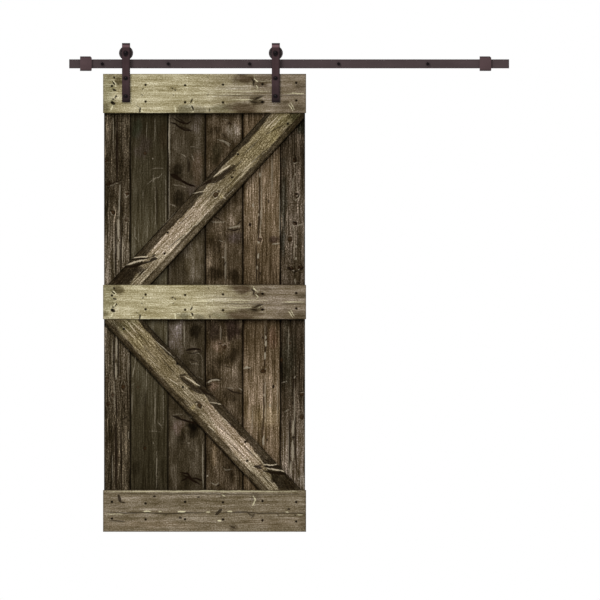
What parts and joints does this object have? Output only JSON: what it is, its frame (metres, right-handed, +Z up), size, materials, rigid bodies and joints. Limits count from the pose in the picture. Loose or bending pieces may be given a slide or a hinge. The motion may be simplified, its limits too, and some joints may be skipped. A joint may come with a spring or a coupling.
{
  "type": "sliding barn door",
  "caption": "Plank barn door with K bracing in dark stained wood, hung by strap hangers with grooved wheels on a flat bronze-coloured wall track with end stops.",
  "frame": {"origin": "on the wall's face, on the axis of the middle wall bolt", "axes": "+X along the track to the right as seen from the room, +Y into the wall, +Z up"},
  "size_m": [2, 0.1056, 2.2222],
  "materials": {
    "plank_wood": "satin",
    "cross_rail_wood": "satin",
    "brace_wood": "satin",
    "wood_screw_metal": "satin",
    "track_metal": "satin",
    "strap_metal": "satin",
    "bolt_metal": "satin",
    "zinc_steel": "satin",
    "wheel_nylon": "satin",
    "bearing_steel": "gloss"
  },
  "bodies": {
    "track": {"track_bar": "track_metal", "wall_spacer_1": "track_metal", "wall_bolt_1": "bolt_metal", "wall_washer_1": "track_metal", "wall_spacer_2": "track_metal", "wall_bolt_2": "bolt_metal", "wall_washer_2": "track_metal", "wall_spacer_3": "track_metal", "wall_bolt_3": "bolt_metal", "wall_washer_3": "track_metal", "wall_spacer_4": "track_metal", "wall_bolt_4": "bolt_metal", "wall_washer_4": "track_metal", "wall_spacer_5": "track_metal", "wall_bolt_5": "bolt_metal", "wall_washer_5": "track_metal", "left_end_stop": "track_metal", "left_stop_set_screws": "bolt_metal", "right_end_stop": "track_metal", "right_stop_set_screws": "bolt_metal"},
    "door": {"plank_1": "plank_wood", "plank_2": "plank_wood", "plank_3": "plank_wood", "plank_4": "plank_wood", "plank_5": "plank_wood", "plank_6": "plank_wood", "top_rail": "cross_rail_wood", "middle_rail": "cross_rail_wood", "bottom_rail": "cross_rail_wood", "upper_brace": "brace_wood", "lower_brace": "brace_wood", "top_rail_screws": "wood_screw_metal", "middle_rail_screws": "wood_screw_metal", "bottom_rail_screws": "wood_screw_metal", "upper_brace_screws": "wood_screw_metal", "lower_brace_screws": "wood_screw_metal", "left_hanger_strap": "strap_metal", "left_strap_bolts": "bolt_metal", "left_strap_washers": "zinc_steel", "left_strap_nuts": "zinc_steel", "left_bearing_inner_ring": "bearing_steel", "left_axle": "bolt_metal", "left_axle_sleeves": "zinc_steel", "left_axle_nut": "bolt_metal", "right_hanger_strap": "strap_metal", "right_strap_bolts": "bolt_metal", "right_strap_washers": "zinc_steel", "right_strap_nuts": "zinc_steel", "right_bearing_inner_ring": "bearing_steel", "right_axle": "bolt_metal", "right_axle_sleeves": "zinc_steel", "right_axle_nut": "bolt_metal"},
    "left_wheel_set": {"left_wheel": "wheel_nylon", "left_bearing_outer_ring": "bearing_steel", "left_bearing_balls": "bearing_steel"},
    "right_wheel_set": {"right_wheel": "wheel_nylon", "right_bearing_outer_ring": "bearing_steel", "right_bearing_balls": "bearing_steel"}
  },
  "joints": [
    {"name": "door_slide", "type": "slide", "parent": "track", "child": "door", "axis": [1, 0, 0], "range_m": [-0.1315, 0.8978]},
    {"name": "left_wheel_roll", "type": "hinge", "parent": "door", "child": "left_wheel_set", "pos_m": [-0.5615, -0.038, 0.0493], "axis": [0, 1, 0], "continuous": true},
    {"name": "right_wheel_roll", "type": "hinge", "parent": "door", "child": "right_wheel_set", "pos_m": [0.1195, -0.038, 0.0493], "axis": [0, 1, 0], "continuous": true}
  ],
  "couplings": [
    {"joint": "left_wheel_roll", "follows": "door_slide", "rad_per_m": 35.088},
    {"joint": "right_wheel_roll", "follows": "door_slide", "rad_per_m": 35.088}
  ]
}
